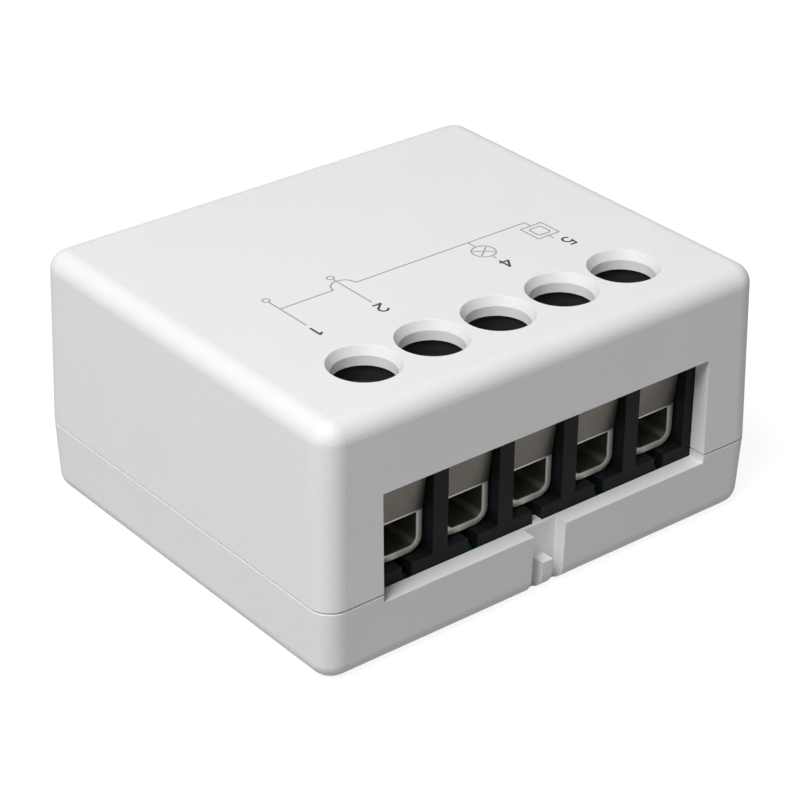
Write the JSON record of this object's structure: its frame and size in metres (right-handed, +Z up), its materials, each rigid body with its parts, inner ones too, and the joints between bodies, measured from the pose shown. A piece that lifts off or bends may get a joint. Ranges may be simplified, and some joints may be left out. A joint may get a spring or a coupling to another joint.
{
  "type": "smart relay module",
  "caption": "White two-part moulded case round a relay board, with a row of rising-cage screw terminals behind a front window and screwdriver holes in the top.",
  "frame": {"origin": "centre of the bounding box in plan, at the underside of the case", "axes": "+Z up through the top with the screwdriver holes, -Y towards the window with the terminals, +X to the right when facing that window"},
  "size_m": [0.04, 0.0346, 0.0199],
  "materials": {
    "case_white": "satin",
    "housing_black": "satin",
    "board_green": "satin",
    "cage_steel": "satin",
    "screw_steel": "satin",
    "steel": "satin",
    "shield_steel": "satin",
    "tinned_brass": "satin",
    "brass": "satin",
    "copper": "satin",
    "resistor_coating": "matte",
    "varistor_coating": "matte",
    "package_black": "matte",
    "capacitor_sleeve": "gloss",
    "capacitor_ceramic": "matte",
    "ferrite": "matte"
  },
  "bodies": {
    "case": {"top_cover": "case_white", "base_shell": "case_white", "terminal_housing": "housing_black", "circuit_board": "board_green", "relay_case": "housing_black", "relay_base": "housing_black", "relay_bobbin": "housing_black", "relay_yoke": "steel", "relay_core": "steel", "relay_winding": "copper", "relay_fixed_contact": "brass", "relay_coil_pins": "tinned_brass", "radio_board": "board_green", "radio_shield": "shield_steel", "radio_antenna": "brass", "radio_header": "tinned_brass", "fusible_resistor": "resistor_coating", "varistor": "varistor_coating", "bridge_rectifier": "package_black", "converter_chip": "package_black", "regulator_chip": "package_black", "driver_transistor": "package_black", "flyback_diode": "package_black", "input_optocoupler": "package_black", "bulk_capacitor": "capacitor_sleeve", "output_capacitor": "capacitor_sleeve", "choke_core": "ferrite", "choke_winding": "copper", "chip_resistors": "package_black", "chip_capacitors": "capacitor_ceramic", "contact_bar_1": "tinned_brass", "contact_bar_2": "tinned_brass", "contact_bar_3": "tinned_brass", "contact_bar_4": "tinned_brass", "contact_bar_5": "tinned_brass"},
    "cage_1": {"clamp_cage_1": "cage_steel"},
    "screw_1": {"clamp_screw_1": "screw_steel"},
    "cage_2": {"clamp_cage_2": "cage_steel"},
    "screw_2": {"clamp_screw_2": "screw_steel"},
    "cage_3": {"clamp_cage_3": "cage_steel"},
    "screw_3": {"clamp_screw_3": "screw_steel"},
    "cage_4": {"clamp_cage_4": "cage_steel"},
    "screw_4": {"clamp_screw_4": "screw_steel"},
    "cage_5": {"clamp_cage_5": "cage_steel"},
    "screw_5": {"clamp_screw_5": "screw_steel"},
    "armature": {"relay_armature": "steel", "relay_contact_spring": "brass"}
  },
  "joints": [
    {"name": "screw_turn_1", "type": "hinge", "parent": "case", "child": "screw_1", "pos_m": [-0.01184, -0.0111, 0.0166], "axis": [0, 0, -1], "range_deg": [0, 1801]},
    {"name": "cage_lift_1", "type": "slide", "parent": "case", "child": "cage_1", "axis": [0, 0, 1], "range_m": [0, 0.0025]},
    {"name": "screw_turn_2", "type": "hinge", "parent": "case", "child": "screw_2", "pos_m": [-0.00592, -0.0111, 0.0166], "axis": [0, 0, -1], "range_deg": [0, 1801]},
    {"name": "cage_lift_2", "type": "slide", "parent": "case", "child": "cage_2", "axis": [0, 0, 1], "range_m": [0, 0.0025]},
    {"name": "screw_turn_3", "type": "hinge", "parent": "case", "child": "screw_3", "pos_m": [0, -0.0111, 0.0166], "axis": [0, 0, -1], "range_deg": [0, 1801]},
    {"name": "cage_lift_3", "type": "slide", "parent": "case", "child": "cage_3", "axis": [0, 0, 1], "range_m": [0, 0.0025]},
    {"name": "screw_turn_4", "type": "hinge", "parent": "case", "child": "screw_4", "pos_m": [0.00592, -0.0111, 0.0166], "axis": [0, 0, -1], "range_deg": [0, 1801]},
    {"name": "cage_lift_4", "type": "slide", "parent": "case", "child": "cage_4", "axis": [0, 0, 1], "range_m": [0, 0.0025]},
    {"name": "screw_turn_5", "type": "hinge", "parent": "case", "child": "screw_5", "pos_m": [0.01184, -0.0111, 0.0166], "axis": [0, 0, -1], "range_deg": [0, 1801]},
    {"name": "cage_lift_5", "type": "slide", "parent": "case", "child": "cage_5", "axis": [0, 0, 1], "range_m": [0, 0.0025]},
    {"name": "armature_pull_in", "type": "hinge", "parent": "case", "child": "armature", "pos_m": [-0.0163, 0.01005, 0.0137], "axis": [0, 1, 0], "range_deg": [0, 4.4]}
  ],
  "couplings": [
    {"joint": "screw_turn_1", "follows": "cage_lift_1", "rad_per_m": 12566},
    {"joint": "screw_turn_2", "follows": "cage_lift_2", "rad_per_m": 12566},
    {"joint": "screw_turn_3", "follows": "cage_lift_3", "rad_per_m": 12566},
    {"joint": "screw_turn_4", "follows": "cage_lift_4", "rad_per_m": 12566},
    {"joint": "screw_turn_5", "follows": "cage_lift_5", "rad_per_m": 12566}
  ]
}
